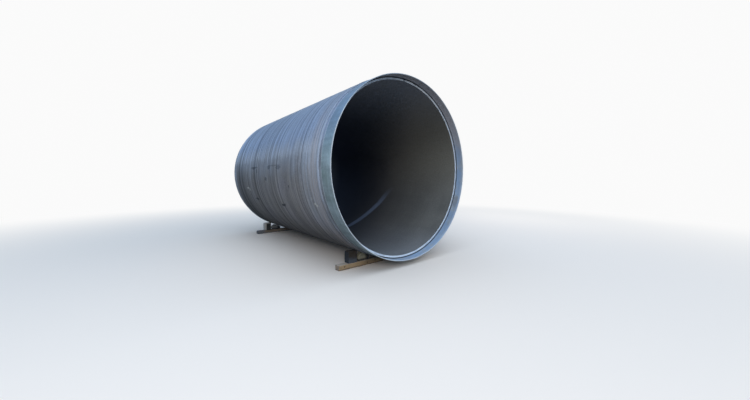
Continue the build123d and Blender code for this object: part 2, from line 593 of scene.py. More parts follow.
    def lay_tints(self, light):
        """Haze, pinkish and bluish streaks near the band, the greyer crown, and pale scuffs."""
        z, pipe = self.z, self.pipe
        haze = self.height.window(-1.4, -0.8, 0.2, 0.6) * self.wide_streak.step(0.3, 0.7, 0.15, 0.65)
        self.cover(self.near * haze, pipe.coat_edge)
        tint = self.streaks(self.point, (2.4, 15.0, 2.4), (0, 0, 3), detail=4, roughness=0.6)
        blush = tint.step(0.52, 0.66) * self.by_band * z.step(0.6, -0.1)
        self.cover(blush * 0.55, self.scaled(pipe.coat_blush, light * 0.75))
        low = self.along.step(COAT_Y + 0.28, COAT_Y + 0.16) * z.step(-0.35, -0.6) * 0.55
        bluish = (tint.step(0.46, 0.32) * self.by_band * 0.35).most(tint.step(0.56, 0.44) * low)
        self.cover(bluish, self.scaled(pipe.coat_edge, light * 0.8))
        self.cover(z.step(1.25, 1.6) * 0.6, self.scaled(pipe.coat_top, light))
        scuff = self.streaks(self.point, (1.4, 24.0, 1.4), (0, 9, 0), detail=4, roughness=0.7)
        self.cover(scuff.step(0.64, 0.82) * 0.4, pipe.coat_scuff)

    def lay_edges(self):
        """A pinkish belt by the bare stretch, the trowelled edges at both ends, and a shadow under one."""
        along, z, patch = self.along, self.z, self.patch
        belt = (along + patch.swing(0.1)).step(COAT_Y + 0.02, COAT_Y + 0.10)
        belt = belt * along.step(COAT_Y + 0.40, COAT_Y + 0.25) * z.step(0.5, 1.2, 1.0, 0.2)
        self.cover(belt * self.streak.step(0.46, 0.58) * 0.6, self.pipe.coat_blush)
        trowelled = (along + patch.swing(0.04)).step(COAT_Y + 0.052, COAT_Y + 0.030)
        trowelled = trowelled * z.step(-0.85, -0.35, 0.35, 1.0) * z.step(1.35, 0.9, 0.4, 1.0)
        trowelled = trowelled.most((along + patch.swing(0.05)).step(SPIGOT_Y - 0.19, SPIGOT_Y - 0.12))
        self.cover(trowelled * self.mottle.step(0.3, 0.6, 0.25, 0.7), self.pipe.coat_edge)
        shadow = (along + patch.swing(0.03)).step(COAT_Y + 0.075, COAT_Y + 0.05) * z.step(-0.3, -0.9)
        self.shade(1 - shadow * 0.42)

    def lay_marks(self):
        """The chips and dark scuffs, each a ragged spot."""
        ragged = self.noise(self.point, scale=30.0, detail=4, roughness=0.7).swing(1.5)
        for place, degrees, half_length, half_width, strength in MARKS:
            turn = math.radians(degrees)
            centre = (-COAT_R * math.sin(turn), MOUTH_Y + place, AXIS_Z + COAT_R * math.cos(turn))
            distance = self.distance(centre, (1 / half_width, 1 / half_length, 1 / half_width))
            colour = self.pipe.chip_colour if strength > 0 else self.pipe.stain_colour
            self.cover((distance + ragged).step(1.15, 0.7) * abs(strength), colour)


def coat_material(pipe):
    """The cement coat: laps and streaks round the pipe, painted light above and shade below, scuffed and
    marked.
    """
    coat = CoatFinish(pipe)
    # Lightness: texture, times the painted light and shade by height and round the turn from the sky.
    light = coat.texture() * coat.zones() * coat.runs()
    coat.lay_ground()
    # The ring lines darken the coat as dirt and as painted shade of their grooves; soil darkens it further.
    coat.shade(light * (1 - coat.line * 0.62) * (1 - coat.soil()))
    coat.lay_tints(light)
    coat.lay_edges()
    coat.lay_marks()
    relief = coat.streak + coat.fine_streak * 0.4 + coat.wide_streak + coat.lip * 0.4 - coat.seam * 0.6
    coat.bump(relief - coat.line * 0.8, 0.004)
    coat.bump(coat.grit + coat.patch * 0.6, 0.0012, 0.8)
    roughness = pipe.coat_roughness + coat.streak.swing(0.3) + coat.patch.swing(0.3) + coat.line * 0.15
    return coat.surface(roughness)


# The rest of the barrel


def spigot_material(pipe):
    """Smooth cast concrete, as on the spigot and the bare stretch behind the band."""
    finish = Finish("cast_concrete", pipe.cast_dark)
    point, _, y, z = finish.from_axis()
    cloud = finish.noise(point, scale=3.0, detail=6)
    ring = finish.streaks(point, (1.5, 90.0, 1.5))
    pores = finish.noise(point, scale=120.0, detail=1)
    finish.cover(cloud.step(0.35, 0.7), pipe.cast_light)
    # Painted sky light: the top of the bare stretch by the band takes a brighter copy of the coat's painted
    # sky blue.
    finish.cover(z.step(0.1, 0.7) * y.step(-2.0, -2.4) * 0.85, finish.scaled(pipe.coat_painted_sky, 1.25))
    finish.shade(0.85 + ring * 0.3 - pores.step(0.66, 0.74) * 0.25)
    finish.bump(ring * 0.5 - pores.step(0.64, 0.74), 0.0015)
    return finish.surface(0.6 + cloud.swing(0.2))


def face_material(pipe):
    """The bright end faces of the core, with grey smears, tiny pits and one nick in the upper edge."""
    # The end faces' pale bluish colour is partly painted sky light.
    finish = Finish("core_face", pipe.face_pale_and_sky_lit)
    point = finish.from_axis()[0]
    pits = finish.noise(point, scale=90.0, detail=2)
    finish.cover(finish.noise(point, scale=5.0, detail=5).step(0.45, 0.75), pipe.face_grey)
    finish.shade(1.0 - pits.step(0.62, 0.74) * 0.3)
    nick = finish.distance((0.0, CORE_Y, AXIS_Z + BORE_R + 0.02), (34, 10, 20))
    finish.cover(nick.step(1.1, 0.7) * 0.6, pipe.stain_colour)
    finish.bump(pits * -1.0, 0.001)
    return finish.surface(0.55)


def groove_material(pipe):
    """Dirt that fills the gap behind the core's end, darker also as painted shade in the gap."""
    finish = Finish("joint_gap", pipe.stain_colour)
    finish.shade(0.6 + finish.noise(finish.place(), scale=14.0, detail=4) * 1.2)
    return finish.surface(0.9)


def bore_material(pipe):
    """The smooth lining: faint rings, silt along the bottom, a slanting painted light arc and painted depth
    shade.

    The painted shade begins further in on the right, and its ceiling is bluish.
    """
    finish = Finish("bore_lining", pipe.bore_dark)
    point, x, y, z = finish.from_axis()
    cloud = finish.noise(point, scale=0.9, detail=5)
    ring = finish.streaks(point, (0.5, 14.0, 0.5), detail=4)
    run = finish.streaks(point, (5.0, 0.5, 5.0), detail=4)
    grain = finish.noise(point, scale=42.0, roughness=0.65)
    silt = z.step(-1.45, -1.74) * (0.5 + run.swing(1.4))
    finish.cover(cloud.step(0.35, 0.7), pipe.bore_light)
    finish.shade(1.0 + ring.swing(0.16) + run.swing(0.2))
    finish.cover(silt.step(0.3, 1.0) * 0.35, pipe.silt_colour)
    # Painted light: the ceiling is lighter and bluish, and the bottom has a bluish painted sheen.
    finish.cover(z.step(0.7, 1.6) * 0.8, pipe.bore_painted_sky)
    finish.cover(z.step(-1.25, -1.75) * 0.30, pipe.bore_painted_sky)
    finish.cover(x.step(0.2, 1.7) * z.step(-0.9, 0.3) * 0.8, pipe.bore_olive)
    finish.shade(1.0 - z.step(-1.35, -1.7) * y.step(-2.6, -2.2) * 0.12)
    finish.shade(0.70 + grain * 0.60)
    # A dim copy of the painted sky tone towards the spigot.
    finish.cover(y.step(1.2, 2.4) * 0.7, finish.scaled(pipe.bore_painted_sky, 0.42))
    # Painted shade deep inside: it starts further in on the right, thins by the spigot, and is bluish above.
    deep = (y + cloud.swing(1.5)).step(-2.8, 1.4) * (0.96 - z.step(0.5, 1.4) * 0.16)
    deep = deep * (x - y * 0.61).step(-0.7, 0.1) * y.step(2.2, 3.0, 1.0, 0.55)
    finish.cover(deep, finish.mix(z.step(0.4, 1.3), pipe.bore_deep, pipe.bore_painted_deep_ceiling))
    finish.shade(1.0 - x.step(0.2, 1.2) * z.step(0.2, 1.1) * 0.25)
    # A painted light arc: a pale slanting band of light low on the right of the bore.
    light_arc = (y + z * 0.69 + run.swing(0.08)).strip(pipe.light_arc_place, 0.05, 0.15)
    finish.cover(light_arc * x.step(0.2, 0.8) * z.step(-0.4, -1.1) * 0.7, pipe.light_arc_colour)
    finish.bump(ring * 0.6 + run * 0.4, 0.004)
    return finish.surface(0.7 + cloud.swing(0.16), specular=0.08)


def make_barrel(pipe):
    """The barrel as one closed turned surface, with the coat's relief worked out on its rows."""
    places, depths, widths = coat_places(pipe)
    profile = barrel_profile(coat_rows(places, widths))
    along, radius = profile.columns()
    ringed = (np.array(profile.stretch) == "ringed")[:, None]
    relief, lines, tone = coat_relief(pipe, along, places, depths, widths)
    end_distance = np.minimum(along - COAT_Y, SPIGOT_Y - along)
    ragged = np.clip(waves(*RAGGED_WAVES)(ANGLES), 0, None)
    end_share = np.exp(-(np.clip(end_distance, 0, None) / RAGGED_LENGTH))
    lean = np.clip(end_distance / LEAN_LENGTH, 0, 1)
    shift = pipe.ring_tilt * np.sin(ANGLES + LEAN_TURN) * lean**2 * (3 - 2 * lean)
    materials = {"bore": bore_material(pipe), "face": face_material(pipe), "spigot": spigot_material(pipe),
                 "coat": coat_material(pipe), "groove": groove_material(pipe)}
    materials["ringed"] = materials["coat"]
    piece = make_turned(
        "pipe_barrel_cast", profile, along + ringed * shift,
        radius - ringed * (relief + RAGGED_DEPTH * ragged * end_share), materials,
        {"along": along + 0 * ANGLES, "line": ringed * lines, "tone": ringed * tone})
    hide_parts("pipe_barrel")


# The socket band

# Its dents, and the worn strips at its two edges
DENT_WAVES = (41, 20, (4.0, 16.0), (-12, 12))
DENT_DEPTH = 0.0007
MOUTH_WEAR = 0.006
BACK_WEAR = 0.004


def paint_material(band):
    """The band's paint: greenish grey, bluer above as painted sky reflection, duller below, clouded,
    pale-edged.
    """
    finish = Finish("band_paint", band.paint_green)
    point, _, y, z = finish.from_axis()
    cloud = finish.noise(point, scale=2.2, detail=5)
    brush = finish.streaks(point, (9.0, 2.0, 9.0), detail=4)
    dust = finish.noise(point, scale=26.0, detail=4, roughness=0.7)
    run = finish.streaks(point, (0.6, 34.0, 0.6), detail=4)
    scratch = finish.streaks(point, (3.0, 40.0, 3.0), detail=5, roughness=0.75)
    finish.cover(cloud.step(0.35, 0.68), band.paint_grey)
    finish.cover(z.step(-0.1, 0.9) * 0.85, band.paint_sky_reflection)
    finish.cover(z.step(-0.4, -1.2) * 0.6, band.paint_dull)
    finish.shade(1.0 + brush.swing(0.9) + dust.swing(0.8) + run.swing(1.0))
    # Painted light and shade: lighter towards the mouth, darker on top, lighter low by the mouth and at mid
    # height.
    finish.shade((y + dust.swing(0.1)).step(BAND_END_Y - 0.05, MOUTH_Y + 0.04, 0.96, 1.12))
    low_mouth = z.step(-1.2, -1.5) * y.step(MOUTH_Y + 0.17, MOUTH_Y + 0.10)
    middle = z.window(-0.2, 0.05, 0.35, 0.65)
    finish.shade(z.step(0.85, 1.35, 1.0, 0.72) + low_mouth * 0.42 + middle * 0.13)
    # Pale edges at the mouth and the back: wear, and painted highlight where they catch the light, less on
    # top.
    edge = (y - MOUTH_Y - MOUTH_WEAR - dust * 0.010).step(0.004, -0.004)
    edge = edge.most((BAND_END_Y - y - BACK_WEAR - dust * 0.012).step(0.004, -0.004))
    finish.cover(edge * z.step(0.7, 1.3, 0.85, 0.35), band.wear_and_edge_highlight)
    finish.cover(scratch.step(0.72, 0.8) * 0.35, band.wear_and_edge_highlight)
    finish.bump(brush + dust * 0.5, 0.0008)
    return finish.surface(0.42 + cloud.swing(0.2) + edge * 0.1)


def inside_material(band):
    """The socket's inner wall: bluish as painted sky reflection, brownish above, a rubbed lip, smears of
    grease.
    """
    finish = Finish("socket_wall", band.inside_sky_reflection)
    point, _, y, z = finish.from_axis()
    cloud = finish.noise(point, scale=4.0, detail=6, roughness=0.6)
    ring = finish.streaks(point, (1.2, 60.0, 1.2))
    blotch = finish.streaks(point, (9.0, 22.0, 9.0), detail=5, roughness=0.7)
    finish.cover(cloud.step(0.38, 0.68), band.inside_grey)
    finish.cover((z + cloud.swing(0.6)).step(-0.1, 1.1) * 0.85, band.inside_brown)
    finish.cover(blotch.step(0.56, 0.72) * 0.6, band.smear_colour)
    finish.shade(1.08 + ring.swing(0.3) + blotch.swing(0.7))
    # The rubbed lip and the rim are pale, partly as painted highlight; the lip is bluish below as painted sky
    # light.
    lip = (y + cloud.swing(0.02)).step(MOUTH_Y + 0.050, MOUTH_Y + 0.030) * z.step(0.9, -0.6, 0.25, 0.55)
    finish.cover(lip, finish.mix(z.step(-0.8, 0.0), band.rubbed_lip_and_sky_light, finish.scaled(band.wear_and_edge_highlight, 0.75)))
    rim = (y + blotch.swing(0.01)).step(MOUTH_Y + 0.018, MOUTH_Y + 0.010)
    finish.cover(rim * z.step(-0.8, 0.0) * 0.7, band.wear_and_edge_highlight)
    finish.shade(1.0 - z.window(-1.6, -1.2, -0.9, -0.5) * 0.14)
    smear = finish.distance((1.64, MOUTH_Y + 0.11, AXIS_Z - 0.75), (6, 14, 6)) + blotch.swing(1.5)
    finish.cover(smear.step(1.1, 0.7) * 0.6, band.smear_colour)
    # Dirt by the core's end, darkened also as painted shade in the corner.
    gap = (y + blotch.swing(0.03)).step(CORE_Y - 0.024, CORE_Y - 0.012)
    finish.cover(gap * 0.85, band.gap_dirt_and_shade)
    finish.bump(ring + cloud * 0.5, 0.001)
    return finish.surface(0.4 + cloud.swing(0.25))


def make_band(band):
    """The band as a closed turned surface, a hair out of round, with eased edges."""
    bevel = BAND_BEVEL
    profile = Profile(MOUTH_Y + bevel, SOCKET_R)
    profile.lines("inside", (CORE_Y, SOCKET_R, 6), (CORE_Y, SEAT_R, 1), (BAND_END_Y, SEAT_R, 3))
    profile.lines("paint", (BAND_END_Y, BAND_R - bevel, 1), (BAND_END_Y - bevel, BAND_R, 1),
                  (MOUTH_Y + bevel, BAND_R, 14), (MOUTH_Y, BAND_R - bevel, 1), (MOUTH_Y, SOCKET_R + bevel, 1),
                  (MOUTH_Y + bevel, SOCKET_R, 1))
    along, radius = profile.columns()
    outer = radius > BAND_R - bevel / 2
    dents = np.clip(waves(*DENT_WAVES)(along, ANGLES), 0, None)
    materials = {"inside": inside_material(band), "paint": paint_material(band)}
    piece = make_turned("socket_band_painted", profile, along, radius - outer * DENT_DEPTH * dents,
                        materials)
    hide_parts("socket_band")


# The chocks

ENDS = ("socket", "spigot")
SIDES = ("left", "right")
PLANK_SEED = 51
BLOCK_SEED = 61
WEDGE_SEED = 71


def timber_material(node, timber, wood, pith, spacing, weathering, knots=(), zones=()):
    """Sawn wood with its grain along X: growth rings about a pith line, grain, checks, knots and dirt.

    Wood names a pair of colours. A knot is a place and a radius. A zone is an axis, the two places on it
    between which a colour comes in, that colour, and how much of it.
    """
    finish = Finish(node.replace("_end", "") + "_wood", getattr(timber, wood + "_early"))
    point = finish.place()
    axes = dict(zip("xyz", finish.axes(point)))
    warp = finish.streaks(point, (1.3, 6.0, 6.0))
    grain = finish.streaks(point, (5.0, 140.0, 140.0), detail=4)
    blotch = finish.streaks(point, (6.0, 9.0, 9.0), detail=5)
    saw = finish.streaks(point, (160.0, 5.0, 5.0), detail=2)
    check = finish.streaks(point, (1.5, 34.0, 34.0), detail=2, distortion=0.4)
    across_y, across_z = axes["y"] - pith[0], axes["z"] - pith[1]
    distance = (across_y * across_y + across_z * across_z).math("POWER", 0.5) + warp.swing(0.03)
    near_knots = [(finish.distance(place, (0.7, 1, 1)), radius) for place, radius in knots]
    for near, radius in near_knots:
        distance = distance + near.step(radius * 3.0, 0.0) * radius * 1.2
    rings = (distance * (2 * math.pi / spacing)).math("SINE") * 0.5 + 0.5
    finish.cover(rings.step(0.15, 0.95) * 0.75, getattr(timber, wood + "_late"))
    finish.shade(0.35 + grain * 0.4 + blotch * 0.9)
    for near, radius in near_knots:
        finish.cover(near.step(radius * 1.1, radius * 0.7) * 0.85, timber.knot)
    finish.cover(blotch.step(0.4, 0.75) * weathering, timber.dirt)
    # Some zones are painted shade or painted sky light, as the callers say.
    for axis, outside, inside, colour, share in zones:
        place = axes[axis] + blotch.swing(abs(inside - outside))
        finish.cover(place.step(outside, inside) * share, finish.scaled(colour, 0.8 + grain * 0.4))
    check = check.strip(0.5, 0.002, 0.012) * blotch.step(0.5, 0.62)
    finish.shade(1 - check * 0.65)
    finish.bump(rings * 0.35 + grain * 0.6 + saw * 0.35 - check * 1.5, 0.0022)
    return finish.surface(0.82 + grain.swing(0.1), specular=0.3)


# The first loop round an end's middle, the waves of the wear, and how much more of it the corners get
CAP_START = 0.06
WEAR_WAVES = (60, (-90.0, 90.0), (-120.0, 120.0), (-120.0, 120.0))
CORNER_WEAR = 2.2


def timber_grid(low, high, ease, rows, side, caps, wear, seed, slope=None):
    """A rounded block whose ends face along X, as rows of loops from one end's middle to the other's.

    Each point of a plain box is split into the nearest point of a smaller box and the rest, and the rest is
    cut to the rounding's radius. Wear then takes the surface in by a smooth random field, and the corners
    more. A slope lowers the top along X.
    """
    low, high = np.array(low), np.array(high)
    half = (high - low) / 2
    corner = np.arange(4 * side)
    place = (corner % side) / side * 2 - 1
    edge = corner // side
    one = np.ones_like(place)
    cap = np.sin(np.linspace(CAP_START, 1, caps, endpoint=False) * np.pi / 2)
    reach = np.concatenate([cap, np.ones(rows), cap[::-1]])[:, None]
    across = np.concatenate([-np.ones(caps), np.linspace(-1, 1, rows), np.ones(caps)])[:, None]
    ring_y = np.choose(edge, [place, one, -place, -one])
    ring_z = np.choose(edge, [-one, place, one, -place])
    box = np.stack(np.broadcast_arrays(across, reach * ring_y, reach * ring_z), axis=-1) * half
    inner = np.clip(box, -(half - ease), half - ease)
    outward = box - inner
    outward = outward / np.maximum(np.linalg.norm(outward, axis=-1, keepdims=True), 1e-9)
    solid = inner + outward * ease
    field = waves(seed, *WEAR_WAVES)
    rough = np.clip(0.5 + 0.35 * field(*np.moveaxis(solid, -1, 0)), 0, 1.2)[..., None]
    corners = (np.abs(outward) > 0.3).sum(-1, keepdims=True) > 1
    points = solid - outward * wear * rough * np.where(corners, CORNER_WEAR, 1.0)
    if slope is not None:
        share = (points[..., 2] + half[2]) / (2 * half[2])
        top = slope(points[..., 0] + (low[0] + high[0]) / 2)
        points[..., 2] = -half[2] + share * (top - low[2])
    return points + (low + high) / 2


def close_ends(points):
    """The points of a grid of loops with a pole added to each end, and its faces."""
    rows, columns, _ = points.shape
    flat = points.reshape(-1, 3)
    faces = grid_faces(rows, columns, close_rows=False).tolist()
    pole = rows * columns
    last = pole - columns
    for number in range(columns):
        follow = (number + 1) % columns
        faces += [[pole, follow, number], [pole + 1, last + number, last + follow]]
    return np.concatenate([flat, [flat[:columns].mean(0), flat[last:].mean(0)]]), faces


def make_timber(node, slot, material, **shape):
    """A timber piece in the place of a CAD node, within its box."""
    low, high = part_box(node)
    points, faces = close_ends(timber_grid(low, high, **shape))
    piece = make_piece(node + "_sawn", points, faces, [material])
    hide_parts(node)


def make_planks(timber):
    """The two planks, eased along their edges: tan and knotty at the socket end, dull at the other."""
    for number, end in enumerate(ENDS):
        node = f"{end}_end_plank"
        low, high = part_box(node)
        middle = (low.y + high.y) / 2
        knots = (((-1.16, low.y, 0.06), 0.013), ((-0.62, low.y, 0.045), 0.010),
                 ((0.45, low.y, 0.07), 0.012), ((-0.3, high.y, 0.05), 0.011),
                 ((-0.85, middle, high.z), 0.016))
        zones = (
            (("z", high.z - 0.008, high.z - 0.003, timber.silvered_and_sky_lit, 0.55),
             ("x", low.x + 0.010, low.x + 0.004, timber.dusty, 0.45),
             # Darker from a quarter metre in, towards the pipe: painted shadow under it.
             ("x", low.x + 0.25, low.x + 0.75, timber.block_early, 0.45),
             ("z", 0.030, 0.008, timber.block_early, 0.6)),
            (("x", low.x + 0.30, low.x + 0.10, timber.dusty, 0.6), ("z", 0.030, 0.008, timber.dusty, 0.6)),
        )[number]
        material = timber_material(node, timber, ("plank", "dull")[number],
                                   (middle + 0.035, -0.055 - 0.02 * number), spacing=0.007,
                                   weathering=0.35 + 0.2 * number, knots=knots, zones=zones)
        make_timber(node, "plank_timber", material, ease=0.006, rows=150, side=12, caps=8, wear=0.0022,
                    seed=PLANK_SEED + number)


def make_blocks(timber):
    """The four blocks: darker old timber at the socket end, weathered grey at the spigot end, darkened by
    painted shade.
    """
    for number, end in enumerate(ENDS):
        for turn, side in enumerate(SIDES):
            node = f"{end}_end_{side}_block"
            low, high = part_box(node)
            pith = ((low.y + high.y) / 2 + 0.05 - 0.09 * turn, low.z - 0.02)
            # Socket end: grey dust low down, and the left face darkened as painted shade. Spigot end: a
            # weathered pale top, and the left end pale as painted sky light.
            zones = (
                (("z", low.z + 0.15, low.z + 0.04, timber.dusty, 0.55),
                 ("x", low.x + 0.010, low.x + 0.004, timber.stain_and_shade, 0.85)),
                (("z", high.z - 0.045, high.z - 0.020, timber.silvered_and_sky_lit, 0.5),
                 ("x", low.x + 0.062, low.x + 0.050, timber.silvered_and_sky_lit, 0.8)),
            )[number]
            material = timber_material(node, timber, ("block", "grey")[number], pith, spacing=0.009,
                                       weathering=0.45, zones=zones)
            make_timber(node, "block_timber", material, ease=0.007, rows=26, side=14, caps=10, wear=0.003,
                        seed=BLOCK_SEED + 2 * number + turn)


def wedge_top(low, high):
    """The height of a wedge's top over x: a face that touches the barrel at its middle, up to a shoulder.

    The face rises outwards at the slope of the barrel above its middle, tan(asin(x/r)). Past the shoulder,
    which is the wedge's highest place, the top falls away.
    """
    way = math.copysign(1, low.x)
    inner, outer = sorted((abs(low.x), abs(high.x)))
    shoulder = outer - WEDGE_SHOULDER
    slope = math.tan(math.asin((inner + shoulder) / 2 / COAT_R))

    def height(x):
        past = way * x - shoulder
        return high.z + np.where(past < 0, slope * past, -SHOULDER_DROP / WEDGE_SHOULDER * past)

    return height


def make_wedges(timber):
    """The four wedges: pale rough offcuts, hewn rather than sawn, against the barrel's underside."""
    for number, end in enumerate(ENDS):
        for turn, side in enumerate(SIDES):
            node = f"{end}_end_{side}_wedge"
            low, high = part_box(node)
            pith = ((low.y + high.y) / 2 - 0.03, low.z + 0.3)
            tip, inwards = ((high.x, -1), (low.x, 1))[turn]
            # The dark colour of each wedge's underside and its inner end under the barrel is painted shade.
            zones = (("z", low.z + 0.060, low.z + 0.025, timber.stain_and_shade, 0.85),
                     ("x", tip + inwards * 0.13, tip + inwards * 0.06, timber.stain_and_shade, 0.9))
            material = timber_material(node, timber, ("wedge", "ashen")[number], pith, spacing=0.011,
                                       weathering=0.4, zones=zones)
            make_timber(node, "wedge_timber", material, ease=0.026, rows=34, side=14, caps=10, wear=0.012,
                        seed=WEDGE_SEED + 2 * number + turn, slope=wedge_top(low, high))


# The stage

# The eye of the photograph, in the pipe's frame, the angle it looks at from the pipe's axis, its focal length
# and its horizon in pixels, the picture's size, and how white the backdrop is
EYE = (-4.088, -6.830, 1.677)
LOOK_DEGREES = 39.65
FOCAL_PIXELS = 281.8
HORIZON_PIXEL = 180.5
PICTURE = (750, 400)
BACKDROP_LEVEL = 0.96

# How far the floor reaches, and where it starts to fade into the backdrop and has faded
FLOOR_REACH = 90.0
FADE_START = 4.0
FADE_END = 15.0

# Each lamp's place, the point that it faces, and its size
OVERHEAD_LAMP = ((-3.0, -3.5, 10.0), (0, -0.5, 2.0), (12.0, 10.0))
FRONT_LAMP = ((-8.5, -11.0, 5.5), (0.3, -1.5, 1.9), (5.0, 4.0))
SIDE_LAMP = ((10.0, -1.0, 5.5), (1.0, 0, 1.9), (6.0, 5.0))


def floor_material(stage):
    """A pale floor that keeps shadows, fades into the white background, and sends little light back up."""
    finish = Finish("studio_floor", stage.floor_colour)
    far = finish.distance().step(FADE_START, FADE_END)
    shown = finish.node("BsdfDiffuse", inputs={"Color": stage.floor_colour})
    hidden = finish.node("BsdfDiffuse", inputs={"Color": stage.bounce_colour})
    white = finish.node("Emission", inputs={"Color": (1, 1, 1), "Strength": BACKDROP_LEVEL})
    near = finish.node("MixShader", inputs={0: far, 1: shown, 2: white})
    both = finish.node("MixShader", inputs={0: finish.ray("Camera"), 1: hidden, 2: near})
    finish.node("OutputMaterial", inputs={0: both})
    return finish.material


def soft_lamp(name, place, target, size, power, colour):
    """An area lamp that faces a point."""
    lamp = bpy.data.lights.new(name, "AREA")
    lamp.shape = "RECTANGLE"
    lamp.size, lamp.size_y = size
    lamp.energy = power
    lamp.color = colour
    holder = add_object(name, lamp)
    holder.location = place
    holder.rotation_euler = (Vector(target) - Vector(place)).to_track_quat("-Z", "Y").to_euler()


def make_world(stage):
    """A white backdrop for the camera, and for all else a cool light from above that dims towards the ground.

    Little of the low light comes from behind the pipe, so that its far end stays dim. Reflections show it.
    """
    world = bpy.data.worlds.new("studio_world")
    sky = NodeTree(world)
    _, north, height = sky.axes(sky.node("TexCoord"))
    behind = north.step(-0.1, 0.35) * height.step(0.85, 0.45) * (1 - sky.ray("Glossy"))
    light = height.step(0.03, 0.28, stage.low_share, 1.0) * (1 - behind * stage.back_dimming)
    even = sky.node("Background", inputs={"Color": stage.sky_colour, "Strength": light * stage.sky_strength})
    white = sky.node("Background", inputs={"Color": (1, 1, 1), "Strength": BACKDROP_LEVEL})
    seen = sky.ray("Camera").most(sky.ray("Transmission"))
    sky.node("OutputWorld", inputs={0: sky.node("MixShader", inputs={0: seen, 1: even, 2: white})})
    bpy.context.scene.world = world


def make_camera():
    """A level camera at the photograph's eye, with the horizon a little above the middle of the picture."""
    camera = bpy.data.cameras.new("photo_camera")
    camera.sensor_width = 36.0
    camera.lens = FOCAL_PIXELS / PICTURE[0] * camera.sensor_width
    camera.shift_y = (HORIZON_PIXEL - PICTURE[1] / 2) / PICTURE[0]
    camera.clip_end = 400.0
    holder = add_object("photo_camera", camera)
    holder.location = EYE
    holder.rotation_euler = (math.radians(90), 0, -math.radians(LOOK_DEGREES))
    bpy.context.scene.camera = holder


def make_stage(stage):
    """The floor, the lamps, the world and the camera."""
    mesh = bpy.data.meshes.new("studio_floor")
    corners = [(x * FLOOR_REACH, y * FLOOR_REACH, 0) for x, y in ((-1, -1), (1, -1), (1, 1), (-1, 1))]
    mesh.from_pydata(corners, [], [(0, 1, 2, 3)])
    mesh.materials.append(floor_material(stage))
    floor = add_object("studio_floor", mesh)
    soft_lamp("overhead_lamp", *OVERHEAD_LAMP, stage.overhead_power, stage.overhead_colour)
    soft_lamp("front_lamp", *FRONT_LAMP, stage.front_power, stage.front_colour)
    soft_lamp("side_lamp", *SIDE_LAMP, stage.side_power, stage.front_colour)
    make_world(stage)
    make_camera()
    bpy.context.scene.view_settings.view_transform = "Standard"


# The add-on


def swatch(name, description, default):
    """A colour among the settings."""
    return FloatVectorProperty(name=name, description=description, default=default, subtype="COLOR",
                               min=0, max=1)


class CulvertPipeSettings(bpy.types.PropertyGroup):
    ring_depth: FloatProperty(name="Ring depth", description="Depth of the deepest ring line in the coat",
                              default=0.0045, min=0, max=0.01, unit="LENGTH")
    coat_swell: FloatProperty(name="Coat swell", description="Height of the slow unevenness of the coat",
                              default=0.0020, min=0, max=0.01, unit="LENGTH")
    ring_tilt: FloatProperty(name="Ring tilt", description="How far the ring lines lean along the pipe",
                             default=0.014, min=0, max=0.1, unit="LENGTH")
    fine_rings: IntProperty(name="Fine rings", description="Number of faint ring lines between plain ones",
                            default=22, min=0, max=60)
    # Painted shade: the brown stands for the ground's bounce light on the lower coat.
    coat_painted_bounce: swatch("Coat, brown", "Brownish lower parts of the coat", (0.300, 0.270, 0.252))
    coat_violet: swatch("Coat, violet", "Violet tinge of the lower parts of the coat", (0.290, 0.270, 0.300))
    coat_middle: swatch("Coat, grey", "Parts of the coat at mid height", (0.318, 0.335, 0.385))
    # Painted sky light on the upper parts of the coat.
    coat_painted_sky: swatch("Coat, bluish", "Sky-lit upper parts of the coat", (0.200, 0.250, 0.360))
    coat_scuff: swatch("Coat, scuffed", "Pale scuffs of the coat", (0.40, 0.40, 0.41))
    coat_blush: swatch("Coat, pinkish", "Pinkish streaks near the coat's edge", (0.50, 0.43, 0.41))
    coat_top: swatch("Coat, top", "The crown of the coat", (0.250, 0.262, 0.295))
    coat_edge: swatch("Coat's edge", "The trowelled edges of the coat", (0.44, 0.50, 0.60))
    coat_roughness: FloatProperty(name="Coat roughness", description="How dull the coat is", default=0.46,
                                  min=0.1, max=1, subtype="FACTOR")
    chip_colour: swatch("Chips", "Fresh chips in the coat", (0.62, 0.60, 0.56))
    stain_colour: swatch("Stains", "Dark marks on the coat", (0.035, 0.036, 0.042))
    cast_dark: swatch("Cast, dark", "Darker smooth concrete", (0.19, 0.205, 0.23))
    cast_light: swatch("Cast, light", "Lighter smooth concrete", (0.30, 0.325, 0.365))
    # Pale end faces, partly painted sky light.
    face_pale_and_sky_lit: swatch("End face", "The pale end faces of the core", (0.80, 0.85, 0.92))
    face_grey: swatch("End face, grey", "Smears on the end faces", (0.50, 0.54, 0.60))
    bore_dark: swatch("Bore, dark", "Darker parts of the bore", (0.150, 0.147, 0.139))
    bore_light: swatch("Bore, light", "Lighter parts of the bore", (0.210, 0.205, 0.190))
    # Painted sky light and sheen on the bore's ceiling and bottom.
    bore_painted_sky: swatch("Bore, bluish", "The bluish ceiling and bottom of the bore", (0.32, 0.335, 0.385))
    # Painted shade deep in the bore, and its bluish ceiling.
    bore_deep: swatch("Bore, deep", "Where little light reaches", (0.010, 0.013, 0.030))
    bore_painted_deep_ceiling: swatch("Bore, deep ceiling", "The ceiling deep inside", (0.017, 0.026, 0.080))
    # Where the painted light arc would cross the axis.
    light_arc_place: FloatProperty(name="Damp line", description="Where the damp line would cross the axis",
                              default=-0.93, unit="LENGTH")
    # The painted light arc's colour.
    light_arc_colour: swatch("Damp line", "The pale damp line in the bore", (0.24, 0.30, 0.44))
    bore_olive: swatch("Bore, olive", "The olive side of the bore", (0.225, 0.210, 0.175))
    silt_colour: swatch("Silt", "Dried silt along the bottom of the bore", (0.20, 0.20, 0.20))


